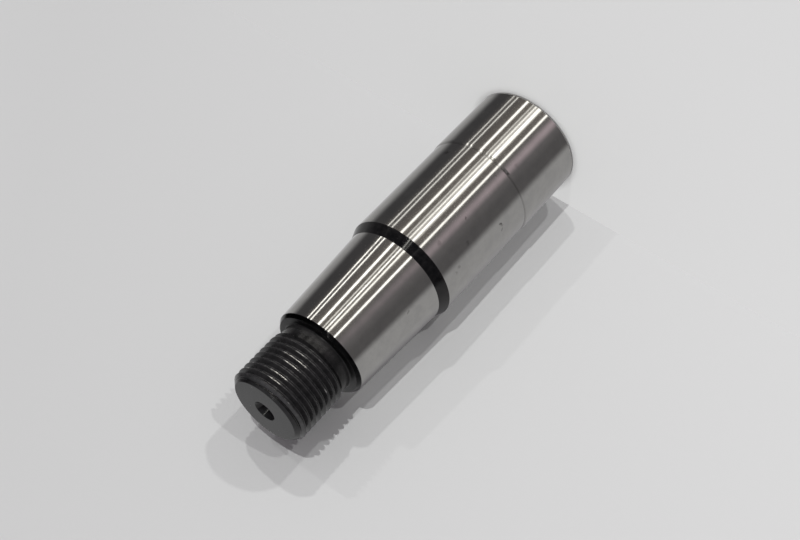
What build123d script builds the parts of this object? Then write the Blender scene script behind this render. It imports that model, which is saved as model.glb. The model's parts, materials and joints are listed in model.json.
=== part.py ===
"""Turned pin: a stepped, taper-seated shaft pin with a threaded end, made from one bar.

Millimetres. +Z runs up the axis from the centre of the big end's face to the threaded end.
"""

import os
from math import atan, cos, degrees, radians, sqrt, tan

from build123d import *

# Ground seats, from the big end upwards
rear_seat_diameter = 34.5
rear_seat_length = 23.7
front_seat_diameter = 34.0
front_seat_length = 36.1
taper_large_diameter = 31.5
taper_length = 31.8
taper_ratio = 10  # length over the change of diameter

# Turned surfaces between and beside the seats
big_end_chamfer = 0.5
seat_step_length = 0.9
lead_cone_length = 3.1
shoulder_chamfer_depth = 0.85
shoulder_chamfer_length = 1.0

# Thread relief, and the metric thread beyond it
relief_diameter = 22.4
relief_length = 3.6
relief_corner_radius = 0.5
thread_diameter = 24.0
thread_pitch = 2.0
thread_length = 17.8  # from the relief to the end face, both chamfers included
thread_end_chamfer = 1.75
thread_flank_angle = 30.0
runout_start_angle = -95.0  # about +Z from +X, where the groove leaves the relief
runout_start_height = 2.4  # above the shoulder
runout_rise = 1.5  # height over which the groove comes to full depth

# Centre holes: a conical seat and a pilot drilled below it
centre_mouth_diameter = 6.7
centre_pilot_diameter = 3.15
centre_depth = 5.9
centre_seat_angle = 60.0
drill_point_angle = 118.0

# Heights worked out from the lengths
front_seat_start = rear_seat_length + seat_step_length
lead_cone_start = front_seat_start + front_seat_length
taper_start = lead_cone_start + lead_cone_length
taper_end = taper_start + taper_length
shoulder_height = taper_end + shoulder_chamfer_length
thread_start = shoulder_height + relief_length
total_length = thread_start + thread_length

# Radii worked out from the diameters
rear_radius = rear_seat_diameter / 2
front_radius = front_seat_diameter / 2
taper_large_radius = taper_large_diameter / 2
taper_small_radius = (taper_large_diameter - taper_length / taper_ratio) / 2
shoulder_radius = taper_small_radius - shoulder_chamfer_depth
relief_radius = relief_diameter / 2
thread_radius = thread_diameter / 2
mouth_radius = centre_mouth_diameter / 2
pilot_radius = centre_pilot_diameter / 2

# Metric thread form: the groove's depth, and half its width at the crest and at the root
flank_slope = tan(radians(thread_flank_angle))
groove_depth = thread_pitch * sqrt(3) / 2 * 17 / 24
groove_radius = thread_radius - groove_depth
groove_half_mouth = thread_pitch * 7 / 16
groove_half_root = groove_half_mouth - groove_depth * flank_slope
cut_clearance = 0.12  # how far the cutting form reaches past the surface it cuts
cut_overlap = 0.01  # height that the run-out and the full groove share

# Where the cutting form starts, clear of the relief, and where the full groove takes over
runout_radius = relief_radius + cut_clearance
runout_start = shoulder_height + runout_start_height
full_depth_start = runout_start + runout_rise - cut_overlap
full_depth_angle = runout_start_angle + 360 * (runout_rise - cut_overlap) / thread_pitch
runout_cone_angle = degrees(atan((runout_radius - groove_radius) / runout_rise))
runout_path_pitch = thread_pitch / cos(radians(runout_cone_angle))  # pitch along the cone


def cutting_form(root_radius, height):
    """Section of the thread groove, its root at the given radius and height."""
    reach = groove_depth + cut_clearance
    half_reach = groove_half_mouth + cut_clearance * flank_slope
    with BuildSketch(Plane.XZ) as form:
        with BuildLine():
            Polyline(
                (root_radius, height - groove_half_root),
                (root_radius + reach, height - half_reach),
                (root_radius + reach, height + half_reach),
                (root_radius, height + groove_half_root),
                close=True,
            )
        make_face()
    return form.sketch


# Centre drill, point upwards, as it enters the big end
with BuildPart() as centre_drill:
    seat_depth = (mouth_radius - pilot_radius) / tan(radians(centre_seat_angle / 2))
    point_height = pilot_radius / tan(radians(drill_point_angle / 2))
    with BuildSketch(Plane.XZ):
        with BuildLine():
            Polyline(
                (0, 0),
                (mouth_radius, 0),
                (pilot_radius, seat_depth),
                (pilot_radius, centre_depth),
                (0, centre_depth + point_height),
                close=True,
            )
        make_face()
    revolve(axis=Axis.Z)

# Thread groove at full depth, up past the end face
with BuildPart() as thread_groove:
    with BuildLine():
        groove_height = total_length + thread_pitch - full_depth_start
        Helix(thread_pitch, groove_height, groove_radius, center=(0, 0, full_depth_start))
    sweep(cutting_form(groove_radius, full_depth_start), is_frenet=True)

# Run-out, where the same form leaves the bar as it nears the shoulder
with BuildPart() as groove_runout:
    with BuildLine():
        Helix(
            runout_path_pitch,
            runout_rise,
            runout_radius,
            center=(0, 0, runout_start),
            cone_angle=-runout_cone_angle,
        )
    sweep(cutting_form(runout_radius, runout_start), is_frenet=True)

# Bar turned to its outline, centred at both ends, then threaded
with BuildPart() as turned_pin:
    with BuildSketch(Plane.XZ) as outline:
        with BuildLine():
            Polyline(
                (0, 0),
                (rear_radius - big_end_chamfer, 0),
                (rear_radius, big_end_chamfer),
                (rear_radius, rear_seat_length),
                (front_radius, front_seat_start),
                (front_radius, lead_cone_start),
                (taper_large_radius, taper_start),
                (taper_small_radius, taper_end),
                (shoulder_radius, shoulder_height),
                (relief_radius, shoulder_height),
                (relief_radius, thread_start),
                (thread_radius, thread_start + thread_radius - relief_radius),
                (thread_radius, total_length - thread_end_chamfer),
                (thread_radius - thread_end_chamfer, total_length),
                (0, total_length),
                close=True,
            )
        make_face()
        relief_corner = outline.vertices().sort_by_distance((relief_radius, shoulder_height))[0]
        fillet(relief_corner, relief_corner_radius)
    revolve(axis=Axis.Z)
    end_drill = centre_drill.part.mirror(Plane.XY).moved(Location((0, 0, total_length)))
    add(centre_drill.part, mode=Mode.SUBTRACT)
    add(end_drill, mode=Mode.SUBTRACT)
    add(thread_groove.part.rotate(Axis.Z, full_depth_angle), mode=Mode.SUBTRACT)
    add(groove_runout.part.rotate(Axis.Z, runout_start_angle), mode=Mode.SUBTRACT)

turned_pin.part.label = "turned_pin"
os.makedirs("parts", exist_ok=True)
export_step(turned_pin.part, "parts/turned_pin.step")
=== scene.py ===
import json
from math import atan2, cos, pi, radians, sin, sqrt, tan

import bmesh
import bpy
from mathutils import Matrix, Vector


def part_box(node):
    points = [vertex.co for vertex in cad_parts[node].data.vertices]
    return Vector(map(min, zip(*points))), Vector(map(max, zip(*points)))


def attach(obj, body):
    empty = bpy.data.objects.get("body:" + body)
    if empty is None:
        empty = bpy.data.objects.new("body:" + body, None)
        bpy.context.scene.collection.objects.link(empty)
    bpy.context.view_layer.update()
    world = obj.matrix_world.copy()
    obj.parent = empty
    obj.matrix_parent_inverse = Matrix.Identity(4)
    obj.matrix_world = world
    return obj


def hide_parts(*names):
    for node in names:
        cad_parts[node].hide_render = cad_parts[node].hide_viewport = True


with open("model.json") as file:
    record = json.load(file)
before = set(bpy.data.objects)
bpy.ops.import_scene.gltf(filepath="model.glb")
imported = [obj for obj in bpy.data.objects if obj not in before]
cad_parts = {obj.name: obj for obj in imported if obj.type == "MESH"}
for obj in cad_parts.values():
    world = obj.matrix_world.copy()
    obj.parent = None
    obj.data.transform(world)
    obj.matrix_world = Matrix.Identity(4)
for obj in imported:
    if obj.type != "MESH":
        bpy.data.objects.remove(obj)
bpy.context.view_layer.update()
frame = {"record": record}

# ---------------------------------------------------------------------------------------------
# The pin's blank is one steel bar, turned between centres to two seats, a lead cone, a taper, a
# shoulder, a relief and the thread's outer diameter, with a centre hole drilled in each end.
# Every turned edge is broken, finely where the wheel later grinds up to it.

MM = 0.001
floor_corner, top_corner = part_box("turned_pin")
mounts = {mount["name"]: mount for mount in frame["record"]["mounts"]}
rear_radius = mounts["rear_seat"]["dims"]["r_mm"] * MM
front_radius = mounts["front_seat"]["dims"]["r_mm"] * MM
front_seat_middle = mounts["front_seat"]["pos_m"][2]
front_seat_reach = mounts["front_seat"]["dims"]["length_mm"] / 2 * MM
total_length = top_corner.z - floor_corner.z

big_end_chamfer = 0.5 * MM
seat_step_length = 0.9 * MM
lead_cone_length = 3.1 * MM
taper_large_radius = 15.75 * MM
taper_length = 31.8 * MM
taper_slope = 1 / 20  # radius lost over height, which is 1 in 10 on the diameter
shoulder_chamfer_length = 1.0 * MM
shoulder_chamfer_depth = 0.85 * MM
relief_radius = 11.2 * MM
relief_length = 3.6 * MM
relief_corner_radius = 0.5 * MM
thread_radius = 12.0 * MM
end_chamfer = 1.75 * MM

front_seat_start = front_seat_middle - front_seat_reach
front_seat_end = front_seat_middle + front_seat_reach
rear_seat_end = front_seat_start - seat_step_length
taper_start = front_seat_end + lead_cone_length
taper_end = taper_start + taper_length
taper_small_radius = taper_large_radius - taper_length * taper_slope
shoulder_height = taper_end + shoulder_chamfer_length
shoulder_radius = taper_small_radius - shoulder_chamfer_depth
thread_start = shoulder_height + relief_length

centre_mouth_radius = 3.35 * MM
centre_pilot_radius = 1.575 * MM
centre_depth = 5.9 * MM
centre_seat_angle = radians(60)
drill_point_angle = radians(118)
centre_seat_depth = (centre_mouth_radius - centre_pilot_radius) / tan(centre_seat_angle / 2)
centre_point_depth = centre_depth + centre_pilot_radius / tan(drill_point_angle / 2)

fine_break = 0.05 * MM
edge_break = 0.14 * MM
bar_segments = 288
bar_merge_distance = 0.0005 * MM


def centre_hole(face_height, inwards):
    """Corners of a centre hole's outline, from its drill point out to its mouth."""
    return [
        (0, face_height + inwards * centre_point_depth, 0),
        (centre_pilot_radius, face_height + inwards * centre_depth, 0),
        (centre_pilot_radius, face_height + inwards * centre_seat_depth, fine_break),
        (centre_mouth_radius, face_height, fine_break),
    ]


bar_corners = [  # radius, height and rounding
    *centre_hole(0, 1),
    (rear_radius - big_end_chamfer, 0, edge_break),
    (rear_radius, big_end_chamfer, fine_break),
    (rear_radius, rear_seat_end, fine_break),
    (front_radius, front_seat_start, fine_break),
    (front_radius, front_seat_end, fine_break),
    (taper_large_radius, taper_start, fine_break),
    (taper_small_radius, taper_end, fine_break),
    (shoulder_radius, shoulder_height, edge_break),
    (relief_radius, shoulder_height, relief_corner_radius),
    (relief_radius, thread_start, edge_break),
    (thread_radius, thread_start + thread_radius - relief_radius, fine_break),
    (thread_radius, total_length - end_chamfer, fine_break),
    (thread_radius - end_chamfer, total_length, edge_break),
    *reversed(centre_hole(total_length, -1)),
]


def rounded_outline(corners, closed=False):
    """Bmesh of an outline given as (radius, height, rounding) corners, each one rounded."""
    mesh = bmesh.new()
    points = [mesh.verts.new((radius, 0, height)) for radius, height, _ in corners]
    for start, end in zip(points, points[1:] + points[:1] if closed else points[1:]):
        mesh.edges.new((start, end))
    for point, (_, _, rounding) in zip(points, corners):
        if rounding:
            bmesh.ops.bevel(
                mesh,
                geom=[point],
                offset=rounding,
                offset_type="OFFSET",
                segments=max(3, round(rounding / edge_break * 2)),
                profile=0.5,
                affect="VERTICES",
                material=-1,
            )
    return mesh


def mesh_object(name, mesh):
    """New object at the origin, made from a bmesh."""
    data = bpy.data.meshes.new(name)
    mesh.to_mesh(data)
    mesh.free()
    made = bpy.data.objects.new(name, data)
    bpy.context.scene.collection.objects.link(made)
    return made


bar = rounded_outline(bar_corners)
bmesh.ops.spin(
    bar,
    geom=bar.verts[:] + bar.edges[:],
    axis=(0, 0, 1),
    angle=2 * pi,
    steps=bar_segments,
    use_merge=True,
)
bmesh.ops.remove_doubles(bar, verts=bar.verts, dist=bar_merge_distance)
bmesh.ops.recalc_face_normals(bar, faces=bar.faces)
pin = mesh_object("turned_taper_pin", bar)

# ---------------------------------------------------------------------------------------------
# The thread is M24 x 2, right hand, cut with a single-point tool that has a rounded nose. The
# groove climbs out of the relief in three quarters of a turn and runs off the end of the bar.

thread_pitch = 2.0 * MM
flank_slope = tan(radians(30))
groove_depth = thread_pitch * sqrt(3) / 2 * 17 / 24
groove_radius = thread_radius - groove_depth
groove_half_mouth = thread_pitch * 7 / 16
groove_half_root = groove_half_mouth - groove_depth * flank_slope
nose_rounding = 0.16 * MM
crest_rounding = 0.05 * MM
runout_rise = 1.5 * MM
runout_start = shoulder_height + 2.4 * MM
runout_start_angle = radians(-95)
runout_clearance = 0.12 * MM
steps_per_turn = 96
groove_turns = 11
tool_clearance = 0.1 * MM
turn_merge_distance = 0.001 * MM
cut_merge_distance = 0.004 * MM
smooth_below = radians(13)  # a sharper edge than this keeps its line

tool_side = [  # radius, distance from the middle of the groove, and rounding
    (groove_radius, groove_half_root, nose_rounding),
    (thread_radius - crest_rounding, groove_half_mouth - crest_rounding * flank_slope, 0),
    (thread_radius, groove_half_mouth + crest_rounding * 0.7, 0),
    (thread_radius + tool_clearance, groove_half_mouth + crest_rounding * 0.9, 0),
]
tool_corners = [(radius, runout_start - half, rounding) for radius, half, rounding in tool_side]
tool_corners += [
    (radius, runout_start + half, rounding) for radius, half, rounding in reversed(tool_side)
]
groove = rounded_outline(tool_corners, closed=True)
bmesh.ops.spin(
    groove,
    geom=groove.verts[:] + groove.edges[:],
    axis=(0, 0, 1),
    dvec=(0, 0, thread_pitch / steps_per_turn),
    angle=2 * pi,
    steps=steps_per_turn,
)
one_turn = groove.verts[:] + groove.edges[:] + groove.faces[:]
for turn in range(1, groove_turns):
    copied = bmesh.ops.duplicate(groove, geom=one_turn)["geom"]
    corners = [element for element in copied if isinstance(element, bmesh.types.BMVert)]
    bmesh.ops.translate(groove, verts=corners, vec=(0, 0, turn * thread_pitch))
bmesh.ops.remove_doubles(groove, verts=groove.verts, dist=turn_merge_distance)
bmesh.ops.holes_fill(groove, edges=[edge for edge in groove.edges if edge.is_boundary])

# Over the run-out the tool is drawn back, from clear of the relief to full depth
retreat = relief_radius + runout_clearance - groove_radius
for corner in groove.verts:
    turn = atan2(corner.co.y, corner.co.x) / (2 * pi) % 1
    climbed = (corner.co.z - runout_start) / thread_pitch
    rise = (turn + round(climbed - turn)) * thread_pitch
    if rise < runout_rise:
        drawn_back = retreat * (1 - rise / runout_rise)
        corner.co += Vector((corner.co.x, corner.co.y, 0)).normalized() * drawn_back
bmesh.ops.rotate(groove, verts=groove.verts, matrix=Matrix.Rotation(runout_start_angle, 3, "Z"))
bmesh.ops.recalc_face_normals(groove, faces=groove.faces)

threading_tool = mesh_object("threading_tool", groove)
threading = pin.modifiers.new("threading", "BOOLEAN")
threading.operation = "DIFFERENCE"
threading.solver = "EXACT"
threading.object = threading_tool
threaded_pin = pin.evaluated_get(bpy.context.evaluated_depsgraph_get())
threaded_mesh = bpy.data.meshes.new_from_object(threaded_pin)
pin.modifiers.clear()
bpy.data.objects.remove(threading_tool)


def place_of(element):
    """Sorted places of the corners of an edge or a face, or of a single corner."""
    return sorted(corner.co[:] for corner in getattr(element, "verts", [element]))


# The cut's corners, edges and faces come in a new order each time, so they are sorted by
# place before slivers narrower than the merge distance are closed
threaded = bmesh.new()
threaded.from_mesh(threaded_mesh)
for elements in (threaded.verts, threaded.edges, threaded.faces):
    for rank, element in enumerate(sorted(elements, key=place_of)):
        element.index = rank
    elements.sort()
bmesh.ops.remove_doubles(threaded, verts=threaded.verts, dist=cut_merge_distance)
threaded.to_mesh(threaded_mesh)
threaded.free()
pin.data = threaded_mesh
pin.data.name = pin.name
pin.data.shade_smooth()
pin.data.set_sharp_from_angle(angle=smooth_below)
even_shading = pin.modifiers.new("even_shading", "WEIGHTED_NORMAL")
even_shading.keep_sharp = True
even_shading.weight = 80

# ---------------------------------------------------------------------------------------------
# The seats and the taper are ground bright between centres. The wheel leaves fine rings round
# them, and handling leaves a thin film of oil with a few stains.

mark_depth = 0.02 * MM  # of what the wheel, the turning tool and the oxide leave


class Socket:
    """An output of a shader node. Arithmetic on it adds Math nodes to its shader."""

    def __init__(self, shader, output):
        self.shader, self.output = shader, output

    def __add__(self, other):
        return self.shader.math("ADD", self, other)

    def __radd__(self, other):
        return self.shader.math("ADD", other, self)

    def __sub__(self, other):
        return self.shader.math("SUBTRACT", self, other)

    def __rsub__(self, other):
        return self.shader.math("SUBTRACT", other, self)

    def __mul__(self, other):
        return self.shader.math("MULTIPLY", self, other)

    def __rmul__(self, other):
        return self.shader.math("MULTIPLY", other, self)


class Shader:
    """The nodes of a material or of the world, built from nothing."""

    def __init__(self, owner):
        owner.use_nodes = True
        self.tree = owner.node_tree
        self.tree.nodes.clear()

    def node(self, kind, settings=None, inputs=None):
        """Adds a node, its settings before its inputs, and returns its outputs by name.

        Inputs are given by name, or by number where several share one.
        """
        made = self.tree.nodes.new("ShaderNode" + kind)
        for name, value in (settings or {}).items():
            setattr(made, name, value)
        for name, value in (inputs or {}).items():
            slots = made.inputs
            socket = slots[name] if isinstance(name, int) else next(
                slot for slot in slots if slot.name == name and slot.enabled
            )
            if isinstance(value, Socket):
                self.tree.links.new(value.output, socket)
            elif socket.type == "RGBA":
                socket.default_value = (*value, 1)
            else:
                socket.default_value = value
        return {out.name: Socket(self, out) for out in made.outputs if out.enabled}

    def math(self, operation, *values):
        return self.node("Math", {"operation": operation}, dict(enumerate(values)))["Value"]

    def vector(self, operation, *values):
        """Outputs of a Vector Math node, by name."""
        return self.node("VectorMath", {"operation": operation}, dict(enumerate(values)))

    def blend(self, factor, below, above):
        """Colour that goes from below to above as factor goes from 0 to 1."""
        inputs = {"Factor": factor, "A": below, "B": above}
        return self.node("Mix", {"data_type": "RGBA"}, inputs)["Result"]

    def fade(self, value, low, high, kind="SMOOTHSTEP"):
        """0 where value is at low, 1 where it is at high, and smooth between."""
        inputs = {"Value": value, "From Min": low, "From Max": high}
        return self.node("MapRange", {"interpolation_type": kind}, inputs)["Result"]

    def noise(self, place, scale, detail=2.0, roughness=0.5):
        inputs = {"Vector": place, "Scale": scale, "Detail": detail, "Roughness": roughness}
        return self.node("TexNoise", {}, inputs)["Fac"]

    def bump(self, height, strength):
        """Normal bent by a map of heights, as deep as the marks on the steel."""
        inputs = {"Strength": strength, "Distance": mark_depth, "Height": height}
        return self.node("Bump", {}, inputs)["Normal"]

    def stretched(self, place, across, along):
        """place scaled by across in X and Y and by along in Z."""
        return self.vector("MULTIPLY", place, (across, across, along))["Vector"]

    def surface(self, shader):
        self.node("OutputMaterial", {}, {"Surface": shader})


def on_pin(around, up, from_axis):
    """Place on the pin at degrees round from the front, a height in mm, and a radius."""
    angle = radians(around)
    return (-from_axis * sin(angle), -from_axis * cos(angle), up * MM)


stains = [  # degrees round from the front, height and radius in mm, and how dark
    (42.5, 35.0, 0.55, 0.75),
    (45.0, 34.5, 0.35, 0.35),
    (48.5, 35.3, 0.50, 0.45),
    (40.0, 54.4, 0.80, 0.30),
    (43.0, 56.0, 0.60, 0.22),
    (29.0, 48.3, 0.75, 0.30),
    (11.0, 44.0, 0.45, 0.45),
    (9.0, 55.6, 0.90, 0.22),
    (4.0, 27.4, 0.40, 0.35),
    (6.0, 24.4, 0.45, 0.45),
    (10.5, 24.3, 0.60, 0.70),
    (14.0, 24.5, 0.40, 0.40),
    (11.0, 20.2, 0.80, 0.15),
    (-52.5, 29.0, 0.90, 0.50),
    (-38.0, 67.5, 0.70, 0.25),
    (38.0, 74.6, 0.50, 0.30),
    (131.0, 18.0, 0.60, 0.45),
    (158.0, 51.0, 0.80, 0.35),
    (-112.0, 40.0, 0.55, 0.40),
    (-149.0, 78.0, 0.60, 0.35),
]
stain_raggedness = 1.5 * MM

ground_steel = bpy.data.materials.new("ground_steel")
ground = Shader(ground_steel)
place = ground.node("TexCoord")["Object"]
height = ground.node("SeparateXYZ", {}, {"Vector": place})["Z"]
fine_rings = ground.noise(ground.stretched(place, 40, 9000), 1.0, 3.0, 0.6)
wide_rings = ground.noise(ground.stretched(place, 60, 1100), 1.0, 2.0, 0.5)
chatter = ground.noise(ground.stretched(place, 1300, 900), 1.0, 2.0, 0.5)
film = ground.noise(place, 90, 4.0, 0.6)
patches = ground.noise(place, 260, 4.0, 0.6)
on_taper = ground.fade(height, front_seat_end, taper_start)
wheel_marks = fine_rings * 0.5 + wide_rings * 0.4 + chatter * (0.3 + on_taper * 0.8)

jumble = ground.node("TexNoise", {}, {"Vector": place, "Scale": 1100, "Detail": 3.0})["Color"]
shift = ground.vector("SUBTRACT", jumble, (0.5, 0.5, 0.5))["Vector"]
ragged_place = ground.vector("MULTIPLY_ADD", shift, (stain_raggedness,) * 3, place)["Vector"]

# A painted shade lies along the foot of the small step, in its crease, and the real stains lie
# over it
from_step = ground.math("ABSOLUTE", height - (front_seat_start - 0.1 * MM))
stains_and_painted_shade = ground.fade(from_step, 0.5 * MM, 0.1 * MM) * (0.05 + patches * 0.35)
for around, up, radius, darkness in stains:
    seat_radius = rear_radius if up * MM < rear_seat_end else front_radius
    if up * MM > taper_start:
        seat_radius = taper_large_radius - (up * MM - taper_start) * taper_slope
    away = ground.vector("DISTANCE", ragged_place, on_pin(around, up, seat_radius))["Value"]
    spot = ground.fade(away, radius * 1.25 * MM, radius * 0.35 * MM) * darkness
    stains_and_painted_shade = ground.math("MAXIMUM", spot, stains_and_painted_shade)

clean = ground.blend(ground.fade(patches, 0.3, 0.7), (0.545, 0.54, 0.535), (0.60, 0.595, 0.585))
ground_finish = ground.node(
    "BsdfPrincipled",
    {},
    {
        "Base Color": ground.blend(stains_and_painted_shade, clean, (0.10, 0.09, 0.09)),
        "Metallic": 1.0,
        "Roughness": 0.075 + film * 0.05 + patches * 0.03 + stains_and_painted_shade * 0.25,
        "Anisotropic": 0.8,
        "Anisotropic Rotation": 0.25,
        "Normal": ground.bump(wheel_marks, 0.14),
    },
)["BSDF"]
ground.surface(ground_finish)

# ---------------------------------------------------------------------------------------------
# Everything the wheel doesn't reach keeps its black oxide, a thin and slightly oily satin layer:
# the lead cone, the shoulder, the relief, the thread and both end faces. The wheel's corner
# brightens the small step and the big end's chamfer along with the seats.

rubbed_places = [  # where the crests are rubbed bright: degrees round, height, radius in mm
    (-16, 107.0, 5.0),
    (-19, 112.5, 4.0),
    (95, 106.0, 4.0),
    (-150, 111.0, 4.6),
]

black_oxide = bpy.data.materials.new("black_oxide")
oxide = Shader(black_oxide)
place = oxide.node("TexCoord")["Object"]
axes = oxide.node("SeparateXYZ", {}, {"Vector": place})
height = axes["Z"]
from_axis = oxide.math("SQRT", axes["X"] * axes["X"] + axes["Y"] * axes["Y"])
on_thread = oxide.fade(height, shoulder_height, thread_start)
on_crest = on_thread * oxide.fade(from_axis, thread_radius - 0.12 * MM, thread_radius)
tool_marks = oxide.noise(oxide.stretched(place, 60, 5000), 1.0, 2.0, 0.5)
mottle = oxide.noise(place, 700, 4.0, 0.6)
scuffs = oxide.noise(oxide.stretched(place, 300, 420), 1.0, 3.0, 0.6)
rubbed = 0.0
for around, up, radius in rubbed_places:
    away = oxide.vector("DISTANCE", place, on_pin(around, up, thread_radius))["Value"]
    rubbed = oxide.math("MAXIMUM", oxide.fade(away, radius * MM, radius * 0.35 * MM), rubbed)
worn = on_crest * oxide.fade(scuffs + rubbed * 0.3, 0.6, 0.85)

# Between the taper and the thread, where the shoulder and the relief sink in, the glare is
# damped: a painted shade in the recess
past_taper = oxide.fade(height, taper_end - 0.05 * MM, taper_end + 0.15 * MM)
in_relief = oxide.fade(height, thread_start + 1.2 * MM, thread_start - 0.3 * MM)
on_shoulder = oxide.fade(height, shoulder_height + 0.3 * MM, shoulder_height + 0.02 * MM)
painted_shade_in_recess = past_taper * in_relief * (0.3 + on_thread * 0.4 + on_shoulder * 0.65)

# Dust greys it from the shoulder to the end chamfer, and the centre hole is kept black, a painted
# shade in the hole
past_shoulder = oxide.fade(height, shoulder_height - 0.1 * MM, shoulder_height - 0.02 * MM)
in_neck = past_shoulder - on_thread
short_of_end = oxide.fade(height, total_length - 0.8 * MM, total_length - end_chamfer)
in_hole = oxide.fade(from_axis, centre_mouth_radius + 0.02 * MM, centre_mouth_radius - 0.05 * MM)
threaded_end = past_shoulder * (1 - in_hole)
greyer = oxide.fade(mottle, 0.35, 0.65)
sooty = oxide.blend(greyer, (0.004, 0.004, 0.0045), (0.009, 0.0085, 0.009))
dusty = oxide.blend(greyer, (0.020, 0.020, 0.0205), (0.034, 0.033, 0.034))
blackened = oxide.blend(threaded_end * short_of_end, sooty, dusty)
oxide_finish = oxide.node(
    "BsdfPrincipled",
    {},
    {
        "Base Color": oxide.blend(worn, blackened, (0.55, 0.54, 0.52)),
        "Metallic": oxide.math("MAXIMUM", worn, painted_shade_in_recess),
        "Roughness": 0.06 + mottle * 0.08 + in_neck * 0.12 + threaded_end * 0.1,
        "IOR": 1.5,
        "Normal": oxide.bump(tool_marks * 0.5 + mottle * 0.5, 0.15),
    },
)["BSDF"]
oxide.surface(oxide_finish)

narrowest_seat = taper_small_radius * 0.99  # a facet's middle lies a little inside the edge
steepest_seat = 0.06  # the taper's faces lean by 0.05, and the lead cone's by far more
pin.data.materials.append(black_oxide)
pin.data.materials.append(ground_steel)
for face in pin.data.polygons:
    is_outside = face.center.xy.length > narrowest_seat and face.center.z < taper_end
    is_seat = abs(face.normal.z) < steepest_seat
    is_beside_rear_seat = 0 < face.center.z < front_seat_start
    face.material_index = int(is_outside and (is_seat or is_beside_rear_seat))

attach(pin, "root")
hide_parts("turned_pin")

# ---------------------------------------------------------------------------------------------
# The studio: a pale floor, and a pale board standing behind the pin, which it all but touches.
# The board is seen from the front only. Soft lamps light it over the pin from in front, and one
# more lights the floor from above.

upwards = Vector((0, 0, 1))
board_face = Vector((0.404, -0.915, 0)).normalized()
board_side = Vector((0.915, 0.404, 0)).normalized()
board_gap = 0.1 * MM
sheet_reach = 6.0  # metres from its middle to each edge
# the way in which both sheets are painted darker, a painted fall-off of the light
painted_shading_direction = (0.72, 0.32, 0.61)


def stage_plane(name, matrix, one_sided=False):
    """Large sheet of pale paper, with a painted shade towards one side. Metal doesn't mirror it,
    and lamps behind it shine through.
    """
    mesh = bmesh.new()
    bmesh.ops.create_grid(mesh, x_segments=1, y_segments=1, size=sheet_reach)
    bmesh.ops.transform(mesh, verts=mesh.verts, matrix=matrix)
    made = mesh_object(name, mesh)
    made.visible_glossy = False
    made.visible_diffuse = False
    made.visible_shadow = False
    pale_paper = bpy.data.materials.new(name + "_paper")
    paper = Shader(pale_paper)
    place = paper.node("TexCoord")["Object"]
    # The paper is painted lighter towards one side and darker towards the other, as if the light
    # fell off across both sheets
    across = paper.vector("DOT_PRODUCT", place, painted_shading_direction)["Value"]
    painted_lightness = paper.fade(across, 0.15, -0.08, "LINEAR")
    tone = paper.blend(painted_lightness, (0.597, 0.606, 0.597), (0.699, 0.710, 0.699))
    inputs = {"Base Color": tone, "Roughness": 1.0, "Specular IOR Level": 0.0}
    sheet = paper.node("BsdfPrincipled", {}, inputs)["BSDF"]
    if one_sided:
        behind = paper.node("NewGeometry")["Backfacing"]
        through = paper.node("BsdfTransparent")["BSDF"]
        sheet = paper.node("MixShader", {}, {0: behind, 1: sheet, 2: through})["Shader"]
    paper.surface(sheet)
    made.data.materials.append(pale_paper)


stage_plane("floor", Matrix.Identity(4))
board_place = Matrix.Translation(board_face * -(rear_radius + board_gap))
board_place @= board_face.to_track_quat("Z", "Y").to_matrix().to_4x4()
stage_plane("board", board_place, one_sided=True)

# A share is the part of its own colour that a light brings out on the sheet that faces it. The
# ambient light and the soft lamps add up to 1 on the board. The lamp from above brings the floor,
# which gets the ambient light too, to about the same.
ambient_share = 0.275
soft_lamps = [  # how far a shadow goes up and sideways per depth, share, softness in degrees
    (0.58, 0.10, 0.122, 2.0),
    (0.30, -0.37, 0.145, 1.5),
    (0.16, 0.40, 0.125, 1.0),
    (0.00, -0.79, 0.053, 1.0),
    (-0.18, -0.05, 0.28, 1.0),
]
lamp_rays = [
    (board_face - up * upwards - across * board_side, share, softness)
    for up, across, share, softness in soft_lamps
]
lamp_rays.append((upwards, 0.684, 5))
for number, (towards, share, softness) in enumerate(lamp_rays, 1):
    lamp = bpy.data.lights.new(f"soft_lamp_{number}", "SUN")
    facing = max(towards.normalized().dot(board_face), towards.normalized().z)
    lamp.energy = share * pi / facing
    lamp.angle = radians(softness)
    hung = bpy.data.objects.new(lamp.name, lamp)
    hung.rotation_euler = towards.to_track_quat("Z", "Y").to_euler()
    hung.visible_glossy = False
    bpy.context.scene.collection.objects.link(hung)

# ---------------------------------------------------------------------------------------------
# The room that the metal mirrors: pale tables, darker walls, and upright strips of light that
# the seats show as thin lines along the pin. Angles are in degrees, and azimuth 0 is in front
# and 90 to the right.

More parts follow.
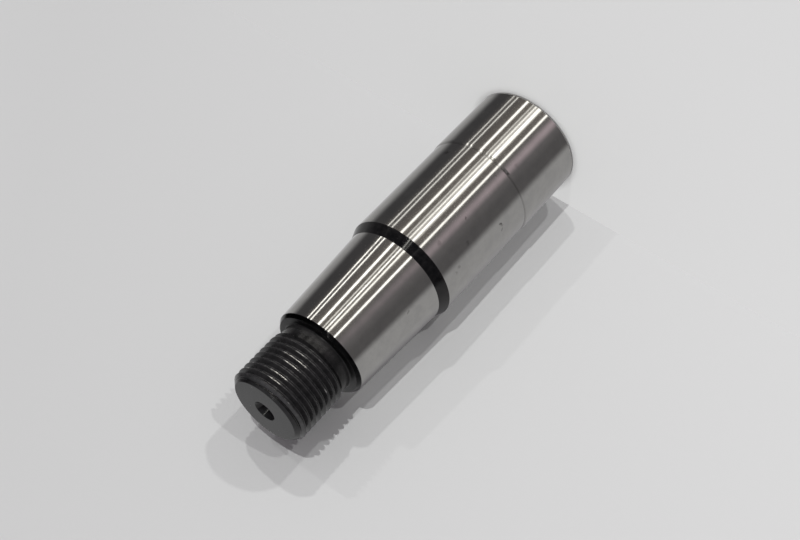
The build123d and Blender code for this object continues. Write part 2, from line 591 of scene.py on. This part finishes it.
far_tables = (0.45, 0.445, 0.45)
backdrop_color = (0.66, 0.66, 0.665)
room_surfaces = [  # azimuths between which one surface passes into the next, and its light
    (-170, -120, (0.40, 0.395, 0.39)),  # table beside the pin
    (-81, -63, (0.12, 0.115, 0.115)),  # dark cupboard
    (-48, -24, (0.175, 0.165, 0.165)),  # wall
    (-20, 20, (0.205, 0.185, 0.165)),  # the wall where lamps warm it
    (42, 75, (0.125, 0.115, 0.11)),  # wall in the shade
    (76, 95, (0.068, 0.066, 0.067)),  # doorway
    (111, 137, (0.38, 0.375, 0.37)),  # nearest table
    (134, 170, (0.57, 0.57, 0.57)),  # its edge, full in the light
]
strip_lamps = [  # azimuth, half width, softness, lowest and highest elevation, and light
    (79.6, 1.1, 1.1, -90, 6, 1.27),
    (79.6, 1.1, 1.1, -26, 6, 1.7),
    (70.5, 1.1, 1.1, -90, 6, 1.45),
    (70.5, 1.1, 1.1, -26, 6, 1.5),
    (48.0, 2.0, 1.4, -90, 6, 2.0),
    (48.0, 2.4, 1.3, -90, -34, 0.5),
    (48.0, 2.3, 1.3, -26, 6, 0.9),
    (35.0, 1.0, 1.0, -90, 6, 1.05),
    (35.0, 1.0, 1.0, -26, 6, 0.5),
    (28.3, 1.2, 1.1, -90, 6, 1.7),
    (28.3, 1.2, 1.1, -26, 6, 1.1),
    (29.3, 0.8, 0.9, 6, 90, 14.0),
    (23.0, 0.8, 0.9, 6, 90, 4.0),
    (20.4, 1.7, 1.2, -90, 6, 2.0),
    (19.4, 3.2, 1.5, -90, -31, 1.2),
    (24.3, 3.0, 2.0, -90, -27, 0.25),
    (17.0, 1.6, 1.6, -90, -24, 0.28),
    (25.0, 8.0, 4.0, -90, -27, 0.28),
    (2.0, 1.8, 1.3, -90, 6, 1.9),
    (2.0, 2.2, 1.2, -90, -34, 0.2),
    (2.0, 2.0, 1.2, -26, 6, 0.6),
    (2.0, 1.3, 1.2, 6, 90, 0.4),
]
strip_end = 3  # degrees over which half of a strip's end fades
brightest = 10  # light at which a strip stops growing brighter

world = bpy.data.worlds.new("studio")
bpy.context.scene.world = world
room = Shader(world)
axes = room.node("SeparateXYZ", {}, {"Vector": room.node("TexCoord")["Generated"]})
elevation = room.math("ARCSINE", axes["Z"]) * (180 / pi)
azimuth = room.math("ARCTAN2", axes["X"], 0 - axes["Y"]) * (180 / pi)

# What stands upright leans in towards azimuth 0 as it rises
leaning = azimuth * (1.0 + 0.0042 * (elevation + 30))
shade = far_tables
for edge_start, edge_end, color in room_surfaces:
    shade = room.blend(room.fade(leaning, edge_start, edge_end), shade, color)

# Low in front the wall has a mauve glow
ahead = room.fade(room.math("PINGPONG", leaning + 16.8, 180), 13, 0)
mauve = ahead * room.fade(elevation, -14, -38, "LINEAR")
shade = room.vector("MULTIPLY_ADD", mauve, (0.37, 0.29, 0.31), shade)["Vector"]

# Shade falls over the far tables on the left near the horizon, and the wall above them is pale
at_tables = room.fade(leaning, -125, -172) * room.fade(elevation, -46, -16)
in_shade = at_tables * room.fade(elevation, 6, -6)
shade = room.blend(in_shade, shade, (0.13, 0.125, 0.13))
above_table = room.fade(room.math("ABSOLUTE", leaning), 125, 155) * room.fade(elevation, 5, 12)
shade = room.blend(above_table, shade, (0.44, 0.44, 0.44))

# Above the horizon the room is dark in front and to the right, up to a grey ceiling
dark_side = room.fade(room.math("PINGPONG", azimuth - 35.5, 180), 116, 103)
overhead = room.fade(elevation, 1, 7)
shade = room.blend(dark_side * overhead, shade, (0.02, 0.02, 0.02))
shade = room.blend(room.fade(elevation, 35, 65), shade, (0.42, 0.42, 0.43))

# Underneath it is pale in front and dark behind
behind = room.fade(room.math("ABSOLUTE", azimuth), 60, 100)
underneath = room.blend(behind, (0.50, 0.495, 0.50), (0.12, 0.12, 0.12))
shade = room.blend(room.fade(elevation, -50, -65), shade, underneath)

# The strips' light, slightly warm, is added to the surfaces
glow = 0.0
for at, half_width, softness, lowest, highest, light in strip_lamps:
    away = room.math("PINGPONG", leaning - at, 180)
    strip = room.fade(away, half_width + softness, half_width - softness) * light
    strip_above = strip * room.fade(elevation, lowest - strip_end, lowest + strip_end)
    glow = glow + strip_above * room.fade(elevation, highest + strip_end, highest - strip_end)
warm_white = (brightest, 0.985 * brightest, 0.915 * brightest)
glowing = room.blend(glow * (1 / brightest), (0, 0, 0), warm_white)
room_color = room.vector("ADD", shade, glowing)["Vector"]

# Metal mirrors the room, anything dull gets even light, and the camera sees a plain backdrop
paths = room.node("LightPath")
ambient = room.node(
    "Background", {}, {"Color": (1.02, 0.95, 1.02), "Strength": ambient_share}
)["Background"]
mirrored = room.node("Background", {}, {"Color": room_color})["Background"]
backdrop = room.node("Background", {}, {"Color": backdrop_color})["Background"]
lit = room.node("MixShader", {}, {0: paths["Is Glossy Ray"], 1: ambient, 2: mirrored})["Shader"]
seen = room.node("MixShader", {}, {0: paths["Is Camera Ray"], 1: lit, 2: backdrop})["Shader"]
room.node("OutputWorld", {}, {"Surface": seen})
world.cycles.sampling_method = "NONE"

# ---------------------------------------------------------------------------------------------
# The camera looks down on the pin from the threaded end's side, rolled over so that the pin
# lies across the picture.

camera_place = (0, -322.1 * MM, 227.85 * MM)
looking_down = radians(27.39)
rolled_over = radians(-136.2)

camera = bpy.data.cameras.new("camera")
camera.lens = 58.5
camera.clip_start = 0.01
camera_object = bpy.data.objects.new("camera", camera)
camera_object.matrix_world = (
    Matrix.Translation(camera_place)
    @ Matrix.Rotation(pi / 2 - looking_down, 4, "X")
    @ Matrix.Rotation(rolled_over, 4, "Z")
)
bpy.context.scene.collection.objects.link(camera_object)
bpy.context.scene.camera = camera_object
bpy.context.scene.view_settings.view_transform = "Standard"
